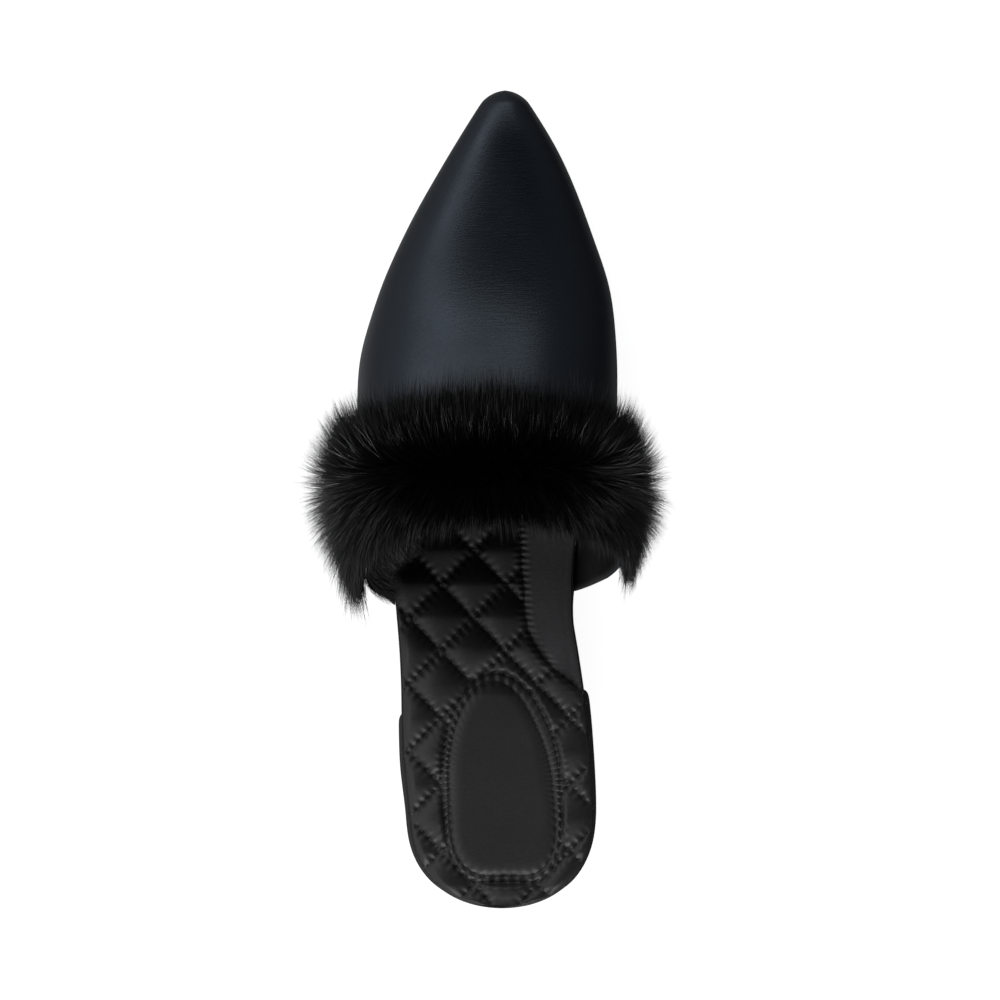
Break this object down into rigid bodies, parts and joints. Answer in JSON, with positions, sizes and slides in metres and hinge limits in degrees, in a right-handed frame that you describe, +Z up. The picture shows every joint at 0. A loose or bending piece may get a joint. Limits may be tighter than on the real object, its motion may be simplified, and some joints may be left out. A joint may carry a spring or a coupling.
{
  "type": "pointed-toe slide mule with a fur collar",
  "caption": "Left women's backless flat mule: pointed closed toe, deep fur round the collar, quilted padded footbed, thin outsole with a low heel block.",
  "frame": {"origin": "middle of the flat face under the heel block, on the floor", "axes": "+Z up, +Y along the foot towards the toe, +X towards the medial side of this left shoe"},
  "size_m": [0.1163, 0.262, 0.0814],
  "materials": {
    "outsole": "black moulded rubber, satin",
    "heel": "black moulded rubber, satin",
    "insole": "black quilted satin over foam",
    "upper": "blue-black satin, soft sheen",
    "fur": "black long-haired fur"
  },
  "bodies": {
    "root": {"outsole": "outsole", "heel": "heel", "insole": "insole", "upper": "upper", "fur_trim": "fur"}
  },
  "joints": []
}
